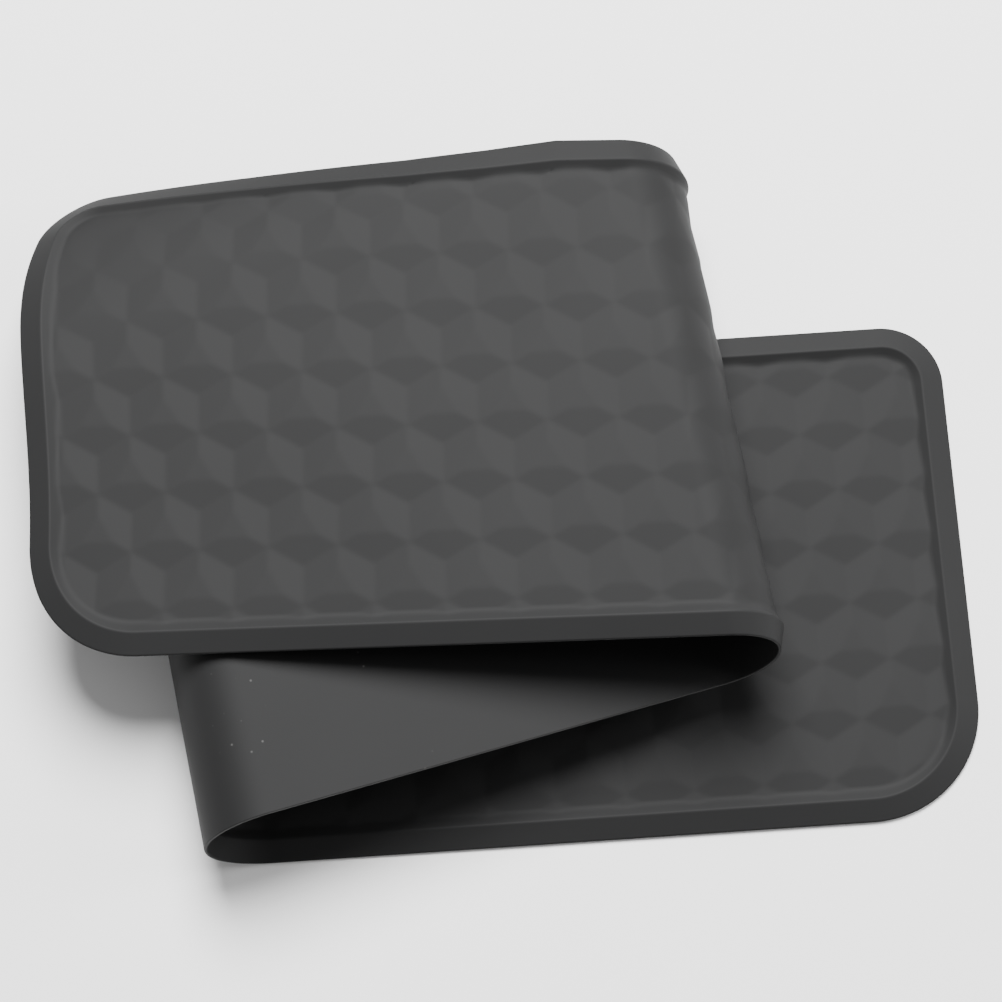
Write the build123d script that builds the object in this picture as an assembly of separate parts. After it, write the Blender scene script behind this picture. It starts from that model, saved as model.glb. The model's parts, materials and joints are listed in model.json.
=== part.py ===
from build123d import *
import math
import os

# A traction mat moulded in one piece from soft rubber, folded in three as it is carried in a car.
# All sizes are in millimetres. The mat is modelled flat, cut along its fold hinges, and then folded.

# The flat mat
mat_length = 1000.0
mat_width = 230.0
web_thickness = 2.4
edge_thickness = 1.2
front_corner_radius = 52.0
back_corner_radius = 28.0

# The raised lip round the edge: a long outer slope, a narrow crest and a short inner slope
lip_height = 4.4
lip_outer_slope = 9.6
lip_crest = 0.6
lip_inner_slope = 5.2

# Neighbouring strips of a fold stand this far apart, and a notch clears them by this many degrees
strip_gap = 0.3
notch_clearance = 0.5

# Each fold is measured from the bottom end, once along the front edge and once along the back edge:
# where the bend starts, and its arc length. The left fold turns the tread inwards.
left_fold_start_front = 318.0
left_fold_start_back = 357.0
left_fold_arc_front = 91.0
left_fold_arc_back = 69.0
left_fold_angle = 188.5
left_fold_hinges = 5

# The right fold turns the tread outwards. Its angle follows from where the top panel comes to rest:
# just clear of the left fold.
right_fold_start_front = 617.0
right_fold_start_back = 645.0
right_fold_arc_front = 74.0
right_fold_arc_back = 85.0
right_fold_hinges = 5
top_clearance = 6.0

# The free back corner of the top panel droops along a slant. Its first hinge meets the back edge this
# far past the right fold, and the others share the rest of the corner evenly.
corner_setback = 40.0
corner_slant = 26.0
corner_angle = 18.0
corner_hinges = 3

# The origin is the middle of the bottom panel's underside, halfway along its front edge
bottom_end_x = left_fold_start_front / 2
front_y = -mat_width / 2
back_y = mat_width / 2
far_end_x = bottom_end_x - mat_length


def outline(inset):
    """The mat's rounded outline, moved inwards, with larger corners on the front long edge."""
    plate = Rectangle(mat_length - 2 * inset, mat_width - 2 * inset)
    front = plate.vertices().filter_by(lambda corner: corner.Y < 0)
    plate = fillet(front, front_corner_radius - inset)
    back = plate.vertices().sort_by(Axis.Y)[-2:]
    plate = fillet(back, back_corner_radius - inset)
    return Pos((bottom_end_x + far_end_x) / 2, 0, 0) * plate


def frustum(lower_inset, lower_z, upper_inset, upper_z):
    """A solid between two inset outlines at two heights."""
    lower = Pos(0, 0, lower_z) * outline(lower_inset)
    upper = Pos(0, 0, upper_z) * outline(upper_inset)
    return loft([lower.face(), upper.face()], ruled=True)


def flat_mat():
    """The whole moulding, lying flat with its tread side up."""
    recess_top = lip_outer_slope + lip_crest
    recess_foot = recess_top + lip_inner_slope
    base = extrude(outline(0), edge_thickness)
    lip = frustum(0, edge_thickness, lip_outer_slope, lip_height)
    recess = frustum(recess_foot, web_thickness, recess_top, lip_height)
    return base + lip - recess


def resting_turn():
    """The right fold's angle that lays the top panel over the left fold with its clearance."""
    left_arc = (left_fold_arc_front + left_fold_arc_back) / 2
    right_arc = (right_fold_arc_front + right_fold_arc_back) / 2
    left_radius = left_arc / math.radians(left_fold_angle) + web_thickness
    middle_front = right_fold_start_front - left_fold_start_front - left_fold_arc_front
    middle_back = right_fold_start_back - left_fold_start_back - left_fold_arc_back
    middle_length = (middle_front + middle_back) / 2
    lean = 0
    for _ in range(8):
        rise = 2 * right_arc / (math.pi + lean) + left_radius
        diagonal = math.hypot(rise, middle_length)
        lean = math.acos((left_radius + top_clearance) / diagonal) - math.atan2(middle_length, rise)
    return 180 + math.degrees(lean)


def hinge_line(point, toward, turn):
    """A hinge through a point of the flat mat, running back towards another point."""
    along = (toward - point).normalized()
    return {"point": point, "along": along, "across": Vector(-along.Y, along.X, 0), "turn": turn}


def bend_hinges(start_front, start_back, arc_front, arc_back, turn, count, height):
    """Hinges spread evenly over a bend, which may be wider at one edge than at the other."""
    hinges = []
    for index in range(count):
        share = (index + 0.5) / count
        front = Vector(bottom_end_x - start_front - arc_front * share, front_y, height)
        back = Vector(bottom_end_x - start_back - arc_back * share, back_y, height)
        hinges.append(hinge_line(front, back, turn / count))
    return hinges


def corner_lines():
    """Slanting hinges, spread evenly from the end of the right fold to the free back corner."""
    along = Vector(math.cos(math.radians(corner_slant)), math.sin(math.radians(corner_slant)), 0)
    last_share = (right_fold_hinges - 0.5) / right_fold_hinges
    first_x = bottom_end_x - right_fold_start_back - right_fold_arc_back * last_share - corner_setback
    spacing = (first_x - far_end_x) / (corner_hinges + 0.5)
    points = [Vector(first_x - spacing * index, back_y, 0) for index in range(corner_hinges)]
    return [hinge_line(point, point + along, -corner_angle / corner_hinges) for point in points]


def all_hinges():
    """Every hinge in order along the mat, from the bottom panel to the drooping corner."""
    left = bend_hinges(left_fold_start_front, left_fold_start_back, left_fold_arc_front,
                       left_fold_arc_back, left_fold_angle, left_fold_hinges, web_thickness)
    right = bend_hinges(right_fold_start_front, right_fold_start_back, right_fold_arc_front,
                        right_fold_arc_back, -resting_turn(), right_fold_hinges, 0)
    return left + right + corner_lines()


def parting_cut(hinge):
    """The slot that parts two strips at a hinge, with a notch where the lips face each other."""
    reach = mat_length
    across_plane = Plane(origin=hinge["point"] - hinge["along"] * reach / 2,
                         x_dir=hinge["across"], z_dir=hinge["along"])
    slot = extrude(across_plane * Rectangle(strip_gap, 4 * lip_height), reach)
    if hinge["turn"] < 0:
        return slot
    # Seen along the hinge, the sketch's vertical direction points down through the mat
    notch_depth = 2 * lip_height
    half_width = notch_depth * math.tan(math.radians(hinge["turn"] / 2 + notch_clearance))
    side = 1 if across_plane.y_dir.Z > 0 else -1
    apex = (0, 0)
    right_mouth = (half_width, side * notch_depth)
    left_mouth = (-half_width, side * notch_depth)
    notch = extrude(across_plane * make_face(Polyline(apex, right_mouth, left_mouth, close=True)), reach)
    return slot + notch


def hinges_before(point, hinges):
    """How many hinges lie between the bottom panel and a point of the flat mat."""
    return sum(1 for hinge in hinges if (point - hinge["point"]).dot(hinge["across"]) > 0)


def hinge_axis(hinge):
    return Axis(hinge["point"], hinge["along"])


def folded(shape, hinges, count):
    """A shape of the flat mat, turned about each of the hinges that it lies beyond."""
    for hinge in reversed(hinges[:count]):
        shape = shape.rotate(hinge_axis(hinge), hinge["turn"])
    return shape


def segment_names():
    """Names in order along the mat, one for each piece between two hinges."""
    names = ["bottom_panel"]
    names += [f"left_fold_strip_{number}" for number in range(1, left_fold_hinges)]
    names += ["middle_panel"]
    names += [f"right_fold_strip_{number}" for number in range(1, right_fold_hinges)]
    names += ["top_panel"]
    names += [f"corner_strip_{number}" for number in range(1, corner_hinges + 1)]
    return names


def build():
    """Every segment by name, folded to its place at rest."""
    hinges = all_hinges()
    mat = flat_mat()
    for hinge in hinges:
        mat = mat - parting_cut(hinge)
    names = segment_names()
    segments = {}
    for solid in mat.solids():
        count = hinges_before(solid.center(CenterOf.MASS), hinges)
        segments[names[count]] = folded(solid, hinges, count)
    return {name: segments[name] for name in names}


os.makedirs("parts", exist_ok=True)
segments = build()
for name, segment in segments.items():
    segment.label = name
    export_step(segment, f"parts/{name}.step")
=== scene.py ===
import json
import math

import bpy
import numpy as np
from mathutils import Matrix, Vector


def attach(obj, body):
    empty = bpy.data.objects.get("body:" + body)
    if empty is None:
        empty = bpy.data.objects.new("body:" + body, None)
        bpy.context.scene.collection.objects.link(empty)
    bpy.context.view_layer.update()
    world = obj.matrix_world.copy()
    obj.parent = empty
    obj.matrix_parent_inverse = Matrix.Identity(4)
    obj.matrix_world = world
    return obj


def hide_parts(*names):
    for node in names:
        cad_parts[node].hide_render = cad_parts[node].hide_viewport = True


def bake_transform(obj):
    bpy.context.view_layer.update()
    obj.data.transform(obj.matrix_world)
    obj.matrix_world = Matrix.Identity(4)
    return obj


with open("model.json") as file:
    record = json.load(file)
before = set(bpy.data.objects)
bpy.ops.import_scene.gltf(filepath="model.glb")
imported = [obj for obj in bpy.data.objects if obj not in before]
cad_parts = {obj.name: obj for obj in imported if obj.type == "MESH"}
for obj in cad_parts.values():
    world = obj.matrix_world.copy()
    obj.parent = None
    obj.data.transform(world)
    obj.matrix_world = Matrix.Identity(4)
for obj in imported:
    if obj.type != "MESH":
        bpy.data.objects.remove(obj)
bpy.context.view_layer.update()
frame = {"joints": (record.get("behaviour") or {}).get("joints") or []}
bpy.ops.object.select_all(action="DESELECT")

# --- The tread face and its lip --------------------------------------------------------------------
# The real mat is one soft rubber moulding, pressed flat in a mould. Its upper face carries shallow
# three-sided facets inside a raised lip: a long outer slope, a narrow crest and a short inner slope.

# The face starts as a flat grid, closest on the lip. Sizes here are in millimetres from the bottom end
length, width = 1000.0, 230.0
bottom_end, back_edge = 159.0, 115.0
edge_steps = [-3, -2, -1, 0, 0.7, 1.6, 3.0, 4.6, 6.4, 8.0, 9.1, 9.6]
edge_steps += [9.9, 10.2, 10.7, 11.6, 12.8, 14.1, 15.4]
field_start, field_rows = 16.5, 166
rows = edge_steps + list(np.linspace(field_start, width - field_start, field_rows))
rows += [width - step for step in reversed(edge_steps)]
end_run, end_columns = 60, 36
near_end = edge_steps + list(np.linspace(field_start, end_run, end_columns))

# Stretches of the mat: where each one ends along the front edge and along the back edge, and its columns
stretches = [(318, 357, 226), (409, 426, 80), (617, 645, 172), (691, 730, 80), (940, 940, 182)]
front_columns, back_columns = list(near_end), list(near_end)
for front_to, back_to, count in stretches:
    front_columns += list(np.linspace(front_columns[-1], front_to, count + 1)[1:])
    back_columns += list(np.linspace(back_columns[-1], back_to, count + 1)[1:])
front_columns += [length - step for step in reversed(near_end)][1:]
back_columns += [length - step for step in reversed(near_end)][1:]
last_column, last_row = len(front_columns) - 1, len(rows) - 1
bpy.ops.mesh.primitive_grid_add(x_subdivisions=last_column, y_subdivisions=last_row, size=2)
mat = bpy.context.object
mat.name = "mat"
bpy.ops.object.mode_set(mode="EDIT")
bpy.ops.mesh.select_all(action="SELECT")
bpy.ops.transform.translate(value=(0, 0, 1))
bpy.ops.object.mode_set(mode="OBJECT")

# --- The smooth back -------------------------------------------------------------------------------
# The mat's other face is plain and smooth. It starts as a second sheet under the first, which has
# every third row and column of it, and always a column where one strip of a bend meets the next.
bend_strips, first_inner, coarse_step = 5, 6, 3
strip_columns = set()
for bend_start, bend_end in ((stretches[0][0], stretches[1][0]), (stretches[2][0], stretches[3][0])):
    for meeting in np.linspace(bend_start, bend_end, bend_strips + 1):
        strip_columns.add(int(np.argmin(np.abs(np.array(front_columns) - meeting))))
coarse_columns = set(range(first_inner, last_column - first_inner + 1, coarse_step))
coarse_columns = sorted({0, last_column} | coarse_columns | strip_columns)
coarse_rows = [0] + list(range(first_inner, last_row - first_inner + 1, coarse_step)) + [last_row]
coarse_across, coarse_up = len(coarse_columns) - 1, len(coarse_rows) - 1
bpy.ops.mesh.primitive_grid_add(x_subdivisions=coarse_across, y_subdivisions=coarse_up, size=2)
bpy.ops.object.mode_set(mode="EDIT")
bpy.ops.mesh.select_all(action="SELECT")
bpy.ops.mesh.flip_normals()
bpy.ops.object.mode_set(mode="OBJECT")
mat.select_set(True)
bpy.context.view_layer.objects.active = mat
bpy.ops.object.join()

# --- The flat moulding -----------------------------------------------------------------------------
# Both sheets take the shape of the flat mat: the outline with its rounded corners, the lip, the thin
# edge that joins the two faces, and the tread. Each grid point knows its row and its column.
mesh = mat.data
co = np.empty(len(mesh.vertices) * 3, np.float32)
mesh.vertices.foreach_get("co", co)
co = co.reshape(-1, 3).astype(float)
upper = co[:, 2] > 0.5
across_sheet, up_sheet = (co[:, 0] + 1) / 2, (co[:, 1] + 1) / 2
fine_column = np.rint(across_sheet * last_column).astype(int)
fine_row = np.rint(up_sheet * last_row).astype(int)
coarse_place = np.rint(across_sheet * coarse_across).astype(int).clip(0, coarse_across)
column = last_column - np.where(upper, fine_column, np.array(coarse_columns)[coarse_place])
coarse_place = np.rint(up_sheet * coarse_up).astype(int).clip(0, coarse_up)
row = np.where(upper, fine_row, np.array(coarse_rows)[coarse_place])
v = np.array(rows)[row]
share = v.clip(0, width) / width
u = np.array(front_columns)[column] * (1 - share) + np.array(back_columns)[column] * share
inset = np.minimum(np.minimum(u, length - u), np.minimum(v, width - v))

# Steps below nought run round the thin edge and a little way under it: how far inside the outline each
# one lies, and how high
under_steps, tucked, rim_height = [-3, -2, -1, 0], [0.5, 0.15, 0, 0], [0, 0.15, 0.5, 1.2]
x = bottom_end - np.where(u < 0, np.interp(u, under_steps, tucked), u)
x = np.where(u > length, bottom_end - length + np.interp(length - u, under_steps, tucked), x)
y = np.where(v < 0, np.interp(v, under_steps, tucked), v) - back_edge
y = np.where(v > width, back_edge - np.interp(width - v, under_steps, tucked), y)

# The four corners are round, larger on the front long edge, and the sheet's rows follow them
front_radius, back_radius = 52, 28
for end_x, toward_x in ((bottom_end, 1), (bottom_end - length, -1)):
    for toward_y, radius in ((-1, front_radius), (1, back_radius)):
        centre_x, centre_y = end_x - toward_x * radius, toward_y * (back_edge - radius)
        a, b = (bottom_end - u - centre_x) * toward_x, (v - back_edge - centre_y) * toward_y
        inside = (a > 0) & (b > 0)
        a, b = np.maximum(a, 1e-9), np.maximum(b, 1e-9)
        turn = np.where(a >= b, math.pi / 4 * b / a, math.pi / 2 - math.pi / 4 * a / b)
        ring = np.where(inset < 0, radius - np.interp(inset, under_steps, tucked), np.maximum(a, b))
        x = np.where(inside, centre_x + toward_x * ring * np.cos(turn), x)
        y = np.where(inside, centre_y + toward_y * ring * np.sin(turn), y)

# Each facet is one side of a three-sided hollow. The hollows repeat in a triangular lattice, and the
# ridges between them are flattened
pitch, depth, crease, ridge = 31.0, 0.7, 0.02, 1.55
lattice_x, lattice_y = 90.2, 65.7
side, line_pitch = pitch / math.sqrt(3), pitch * math.sqrt(3) / 2
cell_y = (y - lattice_y + side / 2) / line_pitch
cell_x = (x - lattice_x - pitch / 2) / pitch - cell_y / 2
tread = np.zeros(len(x))
for step_x in (-1, 0, 1, 2):
    for step_y in (-1, 0, 1, 2):
        line, spot = np.floor(cell_y) + step_y, np.floor(cell_x) + step_x
        away_x = x - lattice_x - pitch / 2 - (spot + line / 2) * pitch
        away_y = y - lattice_y + side / 2 - line * line_pitch
        lean = math.sqrt(3) / 2 * np.abs(away_x) - away_y / 2
        tread += np.exp(-2 * depth / side * np.maximum(away_y, lean) / crease)
tread = -crease * np.log(tread)
tread = -crease * np.logaddexp(-tread / crease, -ridge * depth / crease)

# The hollows die away towards the free back corner, and the lip's foot blends into the web
web, tread_middle, least_tread = 2.2, 0.9 * depth, 0.15
faded_end, faded_edge = 95, 62
from_end, from_edge = (x - bottom_end + length).clip(0), (back_edge - y).clip(0)
faded = np.exp(-(from_end / faded_end) ** 2 - (from_edge / faded_edge) ** 2)
field = web + (tread - tread_middle) * (1 - (1 - least_tread) * faded)
lip_steps, lip_heights, lip_inside, foot = [0, 9.6, 10.2, 16.2], [1.2, 4.4, 4.4, 1.2], 9.9, 0.07
lip = np.interp(inset, lip_steps, lip_heights)
face_z = foot * np.logaddexp(lip / foot, np.where(inset > lip_inside, field, 0) / foot)
z = np.where(upper, np.where(inset < 0, np.interp(inset, under_steps, rim_height), face_z), 0)
mesh.vertices.foreach_set("co", (np.column_stack([x, y, z]) / 1000).astype(np.float32).ravel())
mesh.update()

# --- The lines that the mat bends along ------------------------------------------------------------
# The rubber bends anywhere, but the frame turns it on a chain of hinges. Each hinge's line is carried
# back on to the flat mat, and the faces are cut where one slanting strip of the corner meets the next.
bodies = ["bottom_panel"] + [joint["child"] for joint in frame["joints"]]
opened = [np.eye(4)]
flat_lines = []
for joint in frame["joints"]:
    point, axis = Vector(joint["pos_m"]), Vector(joint["axis"]).normalized()
    angle = math.radians(joint["range_deg"][1])
    turned = Matrix.Translation(point) @ Matrix.Rotation(angle, 4, axis) @ Matrix.Translation(-point)
    back_turn, back_shift = opened[-1][:3, :3], opened[-1][:3, 3]
    flat_lines.append((back_turn @ np.array(point) + back_shift, back_turn @ np.array(axis)))
    opened.append(opened[-1] @ np.array(turned))
middle, top = bodies.index("middle_panel"), bodies.index("top_panel")
corner_point, corner_along = flat_lines[top]
across = np.array([-corner_along[1], corner_along[0]]) * np.sign(corner_along[0])
strip = float(across @ (flat_lines[top + 1][0] - corner_point)[:2])
corner_cuts = [strip * strips_past for strips_past in (-0.42, 0.5, 1.5, 2.5)]
bpy.ops.object.mode_set(mode="EDIT")
for cut in corner_cuts:
    bpy.ops.mesh.select_all(action="SELECT")
    on_line = corner_point[:2] + across * cut
    bpy.ops.mesh.bisect(plane_co=(*on_line, 0), plane_no=(*across, 0), threshold=1e-6)
bpy.ops.object.mode_set(mode="OBJECT")
co = np.empty(len(mesh.vertices) * 3, np.float32)
mesh.vertices.foreach_get("co", co)
flat = co.reshape(-1, 3).astype(float)
centres = np.empty(len(mesh.polygons) * 3, np.float32)
mesh.polygons.foreach_get("center", centres)
centres = centres.reshape(-1, 3).astype(float)
past_corner = (flat[:, :2] - corner_point[:2]) @ across
face_past_corner = (centres[:, :2] - corner_point[:2]) @ across

# --- The uneven lie of the free end ----------------------------------------------------------------
# Nothing holds the top panel's free end, so its outline has crept a few millimetres out of true: it
# bulges behind the middle, draws in at the front and at the back corner, and swells near the fold.
half_width, far_end = back_edge / 1000, (bottom_end - length) / 1000
along, up = flat[:, 0] - far_end, flat[:, 1]
free_reach = 0.15
free_end = (1 - along / free_reach).clip(0, 1) ** 2
bulge, still_line, wave, bulge_reach = 0.0052, 0.012, 0.055, 0.1
creep = bulge * np.sin((still_line - up) / wave) * np.exp(-(((up + still_line) / bulge_reach) ** 4))
corner_draw, corner_from, corner_run = 0.009, 0.035, 0.08
creep += corner_draw * ((up - corner_from) / corner_run).clip(0, 1) ** 2
from_far_end = [0, 0.027, 0.063, 0.1, 0.136, 0.172, 0.209, 0.241, 0.271, 0.311]
edge_shift = [-0.0062, -0.0058, -0.0053, -0.0047, -0.0036, -0.0024, 0.0002, 0.0034, 0.0024, 0]
swell_from, swell_run = 0.06, 0.055
swell = np.interp(along, from_far_end, edge_shift) * ((up - swell_from) / swell_run).clip(0, 1) ** 1.5
place = flat + np.column_stack([creep * free_end, swell, np.zeros(len(flat))])

# --- The sagging corner ----------------------------------------------------------------------------
# Nothing holds up the free back corner either, so the soft rubber curves down under its own weight,
# along a slant. The curve eases in and then turns evenly, in radians for each metre.
sag_rate, ease = 4.304, 0.006
run = np.linspace(-0.05, 0.16, 841)
sag = sag_rate * ease * np.logaddexp(0, run / ease)
half_way = (sag[1:] + sag[:-1]) / 2
run_out = np.concatenate([[0], np.cumsum(np.cos(half_way) * np.diff(run))]) + run[0]
run_down = -np.concatenate([[0], np.cumsum(np.sin(half_way) * np.diff(run))])
lean = np.interp(past_corner, run, sag)
out = np.interp(past_corner, run, run_out) + np.sin(lean) * flat[:, 2] - past_corner
bent = past_corner > run[0]
place[bent, :2] += out[bent, None] * across
place[bent, 2] = (np.interp(past_corner, run, run_down) + np.cos(lean) * flat[:, 2])[bent]

# --- The two folds ---------------------------------------------------------------------------------
# The right fold rolls the mat back over itself with the tread outside, the left fold with the tread
# inside. The rubber keeps its length, so each is a piece of a cone between its two straight edges.


def edge_places(lines, edge_y):
    """How far along the mat each hinge line crosses one of the long edges."""
    return [point[0] + axis[0] / axis[1] * (edge_y - point[1]) for point, axis in lines]


folds = {"right": (middle, top), "left": (0, middle)}
face_strip = np.zeros(len(centres))
for first, last in folds.values():
    lines, count = flat_lines[first:last], last - first
    front_x, back_x = edge_places(lines, -half_width), edge_places(lines, half_width)
    front_strip = (front_x[0] - front_x[-1]) / (count - 1)
    back_strip = (back_x[0] - back_x[-1]) / (count - 1)
    front_start, back_start = front_x[0] + front_strip / 2, back_x[0] + back_strip / 2
    face_share = centres[:, 1] / (2 * half_width) + 0.5
    start_here = front_start + (back_start - front_start) * face_share
    strip_here = front_strip + (back_strip - front_strip) * face_share
    face_strip += ((start_here - centres[:, 0]) / strip_here).clip(0, count)

    # The cone's tip, on the flat mat, and how far round it the bend reaches
    tip = front_strip / (front_strip - back_strip)
    hinge_height = lines[0][0][2]
    apex = np.array([front_start + (back_start - front_start) * tip, half_width * (2 * tip - 1), hinge_height])
    start = math.atan2(-half_width - apex[1], front_start - apex[0])
    swing = math.atan2(-half_width - apex[1], front_start - front_strip * count - apex[0]) - start
    part = ((np.arctan2(flat[:, 1] - apex[1], flat[:, 0] - apex[0]) - start) / swing).clip(0, 1)

    # The roll that takes the panel beyond the fold to its place, shared out evenly round the bend
    spin = np.array(Matrix.Rotation(swing, 3, "Z"))
    roll = (opened[first] @ np.linalg.inv(opened[last]))[:3, :3] @ spin
    angle = math.acos((np.trace(roll) - 1) / 2) - 2 * math.pi
    axis = np.array([roll[2, 1] - roll[1, 2], roll[0, 2] - roll[2, 0], roll[1, 0] - roll[0, 1]])
    axis /= np.linalg.norm(axis)
    r = place - apex
    c, s = np.cos(-part * swing), np.sin(-part * swing)
    r = np.column_stack([r[:, 0] * c - r[:, 1] * s, r[:, 0] * s + r[:, 1] * c, r[:, 2]])
    c, s = np.cos(part * angle)[:, None], np.sin(part * angle)[:, None]
    place = apex + r * c + np.cross(axis, r) * s + (r @ axis)[:, None] * axis * (1 - c)
mesh.vertices.foreach_set("co", place.astype(np.float32).ravel())
mesh.update()
normals = np.empty(len(mesh.vertices) * 3, np.float32)
mesh.vertices.foreach_get("normal", normals)
for name, values in (("shade", normals), ("flat", flat.astype(np.float32).ravel())):
    mesh.attributes.new(name, "FLOAT_VECTOR", "POINT").data.foreach_set("vector", values)

# --- The lengths that follow the frame -------------------------------------------------------------
# The one moulding is parted along its strips, so that each panel rides on its body, while each strip of a bend
# is baked where it lies and rides on no body. Shading carries on across the partings.
number = np.ceil(face_strip) + (face_strip >= middle) + (face_strip >= top)
for cut in corner_cuts:
    number += (face_strip >= top) & (face_past_corner > cut)
mesh.attributes.new("number", "INT", "FACE").data.foreach_set("value", number.astype(np.int32))
mesh.polygons.foreach_set("material_index", number.astype(np.int32))
names = ["bottom"] + [f"left_bend_{strip_number + 1}" for strip_number in range(middle)] + ["middle"]
names += [f"right_bend_{strip_number + 1}" for strip_number in range(top - middle)] + ["top"]
names += ["corner_bend_1", "corner_bend_2", "corner_bend_3", "corner_tip"]
riders = {0: 0, middle + 1: middle, top + 2: top, len(names) - 1: len(bodies) - 1}
for _ in names:
    mesh.materials.append(None)
bpy.ops.object.mode_set(mode="EDIT")
bpy.ops.mesh.separate(type="MATERIAL")
bpy.ops.object.mode_set(mode="OBJECT")
rubber = bpy.data.materials.new("mat_rubber")
parts = [o for o in bpy.context.scene.objects if o.type == "MESH" and "number" in o.data.attributes]
for part_of_mat in parts:
    piece = part_of_mat.data
    order = piece.attributes["number"].data[0].value
    part_of_mat.name = "mat_" + names[order]
    piece.name = part_of_mat.name
    shade, spread, here = (np.empty(len(piece.vertices) * 3, np.float32) for _ in range(3))
    piece.attributes["shade"].data.foreach_get("vector", shade)
    piece.attributes["flat"].data.foreach_get("vector", spread)
    piece.vertices.foreach_get("co", here)
    spread, here = spread.reshape(-1, 3).astype(float), here.reshape(-1, 3).astype(float)
    piece.polygons.foreach_set("use_smooth", np.ones(len(piece.polygons), bool))
    piece.normals_split_custom_set_from_vertices(shade.reshape(-1, 3))
    for name in ("shade", "number"):
        piece.attributes.remove(piece.attributes[name])
    piece.materials.clear()
    piece.materials.append(rubber)
    if order in riders:
        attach(part_of_mat, bodies[riders[order]])
        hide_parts(bodies[riders[order]])
        continue

    # A bend's piece lies between two cuts; the span just inside them, where a blend would start and end, is
    # worked out but not used
    joint = order - 1 if order <= middle else order - 2 if order < top + 2 else order - 3
    if joint < top:
        first, last = folds["left"] if joint < middle else folds["right"]
        lines = flat_lines[first:last]
        front_x, back_x = edge_places(lines, -half_width), edge_places(lines, half_width)
        share = spread[:, 1] / (2 * half_width) + 0.5
        first_here = front_x[0] + (back_x[0] - front_x[0]) * share
        last_here = front_x[-1] + (back_x[-1] - front_x[-1]) * share
        strip_here = (first_here - last_here) / (last - first - 1)
        place_in = (first_here - spread[:, 0]) / strip_here + 0.5 - (joint - first)
    else:
        low, high = corner_cuts[joint - top], corner_cuts[joint - top + 1]
        place_in = ((spread[:, :2] - corner_point[:2]) @ across - low) / (high - low)
    at_cut, inside_cut = 1e-3, 0.01
    near, far = here[place_in < at_cut], here[place_in > 1 - at_cut]
    begin, stride = near.mean(0), far.mean(0) - near.mean(0)
    hinge = np.array(frame["joints"][joint]["axis"])
    stride -= (stride @ hinge) / (hinge @ hinge) * hinge
    low = ((near - begin) @ stride).max() / (stride @ stride) + inside_cut
    high = ((far - begin) @ stride).min() / (stride @ stride) - inside_cut
    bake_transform(part_of_mat)
    if joint + 1 not in riders.values():
        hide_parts(bodies[joint + 1])

# --- The rubber ------------------------------------------------------------------------------------
# Matt black rubber as it leaves the mould: a fine grain and faint clouding, a slightly paler worn rim,
# and a little pale dust on the smooth back. All of it is laid out on the flat mat, so it never breaks.
rubber.use_nodes = True
nodes, links = rubber.node_tree.nodes, rubber.node_tree.links
shader = nodes["Principled BSDF"]
shader.inputs["Roughness"].default_value = 0.66
shader.inputs["Specular IOR Level"].default_value = 0.16
coordinates = nodes.new("ShaderNodeAttribute")
coordinates.attribute_name = "flat"


def rubber_math(operation, first, second):
    """A sum on two masks, or on a mask and a number."""
    node = nodes.new("ShaderNodeMath")
    node.operation = operation
    for socket, value in zip(node.inputs, (first, second)):
        if isinstance(value, (int, float)):
            socket.default_value = value
        else:
            links.new(value, socket)
    return node.outputs[0]


def rubber_noise(scale, detail):
    """A cloudy pattern over the flat mat."""
    node = nodes.new("ShaderNodeTexNoise")
    node.inputs["Scale"].default_value = scale
    node.inputs["Detail"].default_value = detail
    links.new(coordinates.outputs["Vector"], node.inputs["Vector"])
    return node.outputs["Fac"]


def rubber_band(value, none_at, full_at):
    """A mask that goes from nothing to full between two values."""
    node = nodes.new("ShaderNodeMapRange")
    node.inputs["From Min"].default_value = none_at
    node.inputs["From Max"].default_value = full_at
    links.new(value, node.inputs["Value"])
    return node.outputs["Result"]


def rubber_mix(mask, under, colour):
    """One colour laid over another by a mask."""
    node = nodes.new("ShaderNodeMix")
    node.data_type = "RGBA"
    node.inputs["B"].default_value = colour
    links.new(mask, node.inputs["Factor"])
    if isinstance(under, tuple):
        node.inputs["A"].default_value = under
    else:
        links.new(under, node.inputs["A"])
    return node.outputs["Result"]


# The flat mat's height, in metres, tells the smooth side from the rim
heights = nodes.new("ShaderNodeSeparateXYZ")
links.new(coordinates.outputs["Vector"], heights.inputs["Vector"])
smooth_below, rim_below = 0.0001, 0.0009
smooth_side = rubber_math("LESS_THAN", heights.outputs["Z"], smooth_below)
rim = rubber_math("SUBTRACT", rubber_math("LESS_THAN", heights.outputs["Z"], rim_below), smooth_side)

# Dust: a few pale specks, in loose clusters, on the smooth side only
specks = nodes.new("ShaderNodeTexVoronoi")
specks.inputs["Scale"].default_value = 330
links.new(coordinates.outputs["Vector"], specks.inputs["Vector"])
speck_colours = nodes.new("ShaderNodeSeparateColor")
links.new(specks.outputs["Color"], speck_colours.inputs["Color"])
bare_share, speck_rim, speck_core = 0.72, 0.22, 0.1
dust = rubber_math("GREATER_THAN", speck_colours.outputs["Red"], bare_share)
dust = rubber_math("MULTIPLY", dust, rubber_band(specks.outputs["Distance"], speck_rim, speck_core))
cluster_rim, cluster_core = 0.56, 0.64
clusters = rubber_band(rubber_noise(scale=19, detail=4), cluster_rim, cluster_core)
dust = rubber_math("MULTIPLY", rubber_math("MULTIPLY", dust, clusters), smooth_side)

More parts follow.
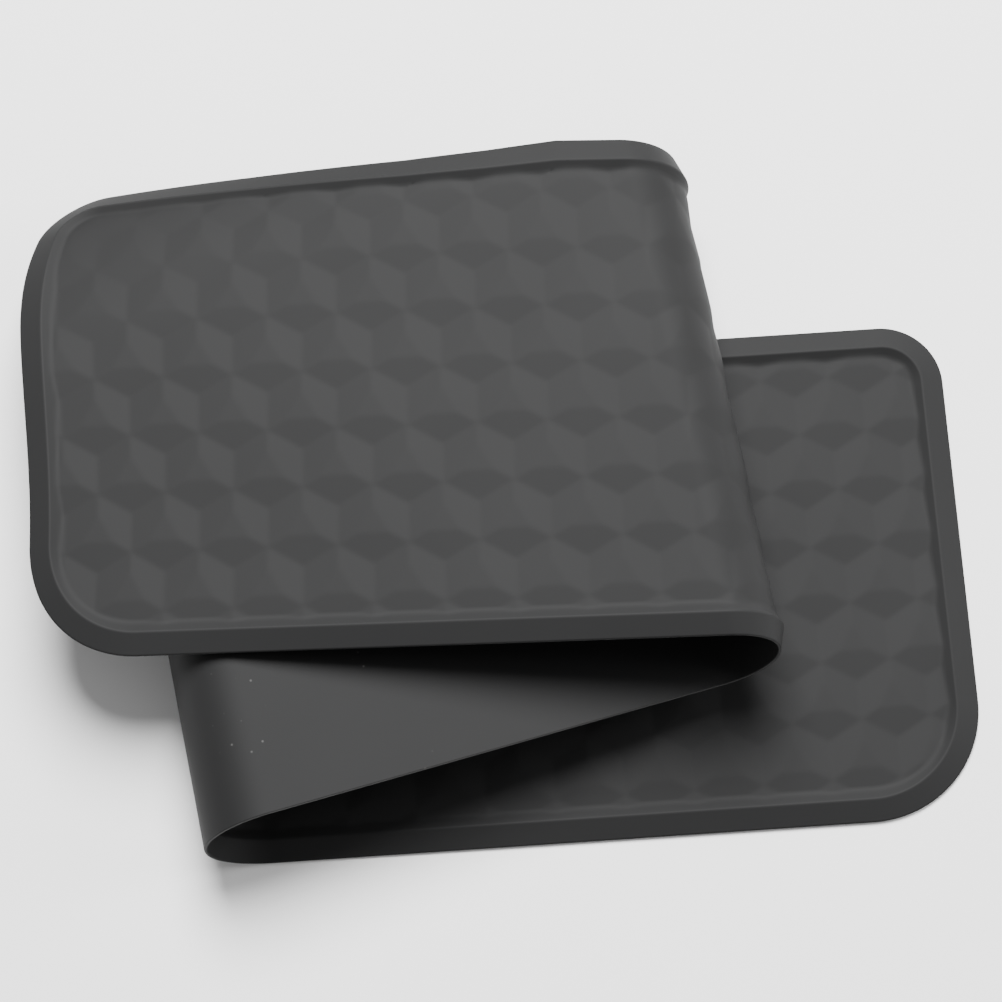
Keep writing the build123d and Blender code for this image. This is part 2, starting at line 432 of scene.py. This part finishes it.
deep_black, soft_black = (0.0102, 0.0103, 0.0105, 1), (0.0136, 0.0137, 0.0139, 1)
worn_black, pale_dust = (0.034, 0.0341, 0.0344, 1), (0.09, 0.09, 0.088, 1)
colour = rubber_mix(rubber_noise(scale=11, detail=5), deep_black, soft_black)
colour = rubber_mix(rim, colour, worn_black)
colour = rubber_mix(dust, colour, pale_dust)
links.new(colour, shader.inputs["Base Color"])
grain = nodes.new("ShaderNodeBump")
grain.inputs["Strength"].default_value = 0.12
grain.inputs["Distance"].default_value = 0.0002
links.new(rubber_noise(scale=1400, detail=3), grain.inputs["Height"])
links.new(grain.outputs["Normal"], shader.inputs["Normal"])

# --- Floor, lights and camera ----------------------------------------------------------------------
# A pale floor just under the mat, a large soft light high up behind it, a weak one from its right, and
# a little light from all round.
bpy.ops.mesh.primitive_plane_add(size=14, location=(0, 0, -0.0006))
floor = bpy.context.object
floor.name = "floor"
paint = bpy.data.materials.new("floor_paint")
paint.use_nodes = True
paint.node_tree.nodes["Principled BSDF"].inputs["Base Color"].default_value = (0.93, 0.93, 0.93, 1)
paint.node_tree.nodes["Principled BSDF"].inputs["Roughness"].default_value = 0.9
floor.data.materials.append(paint)
world = bpy.data.worlds.new("studio")
bpy.context.scene.world = world
world.use_nodes = True
world.node_tree.nodes["Background"].inputs["Color"].default_value = (1, 1, 1, 1)
world.node_tree.nodes["Background"].inputs["Strength"].default_value = 0.36
bpy.ops.object.light_add(type="AREA", location=(0.04, 1.32, 2.1))
key = bpy.context.object
key.data.shape = "DISK"
key.data.size = 1.6
key.data.energy = 212
key.rotation_euler = (Vector((-0.05, 0.04, 0)) - key.location).to_track_quat("-Z", "Y").to_euler()
bpy.ops.object.light_add(type="AREA", location=(1.8, 0.25, 0.95))
fill = bpy.context.object
fill.data.size = 0.9
fill.data.energy = 26
fill.rotation_euler = (Vector((0.05, 0, 0)) - fill.location).to_track_quat("-Z", "Y").to_euler()
bpy.ops.object.camera_add(location=(-0.0732, -0.3152, 1.3269))
camera = bpy.context.object
camera.data.lens = 107.8
camera.data.sensor_width = 36
camera.rotation_euler = (Vector((-0.0487, 0.0443, 0)) - camera.location).to_track_quat("-Z", "Y").to_euler()
bpy.context.scene.camera = camera
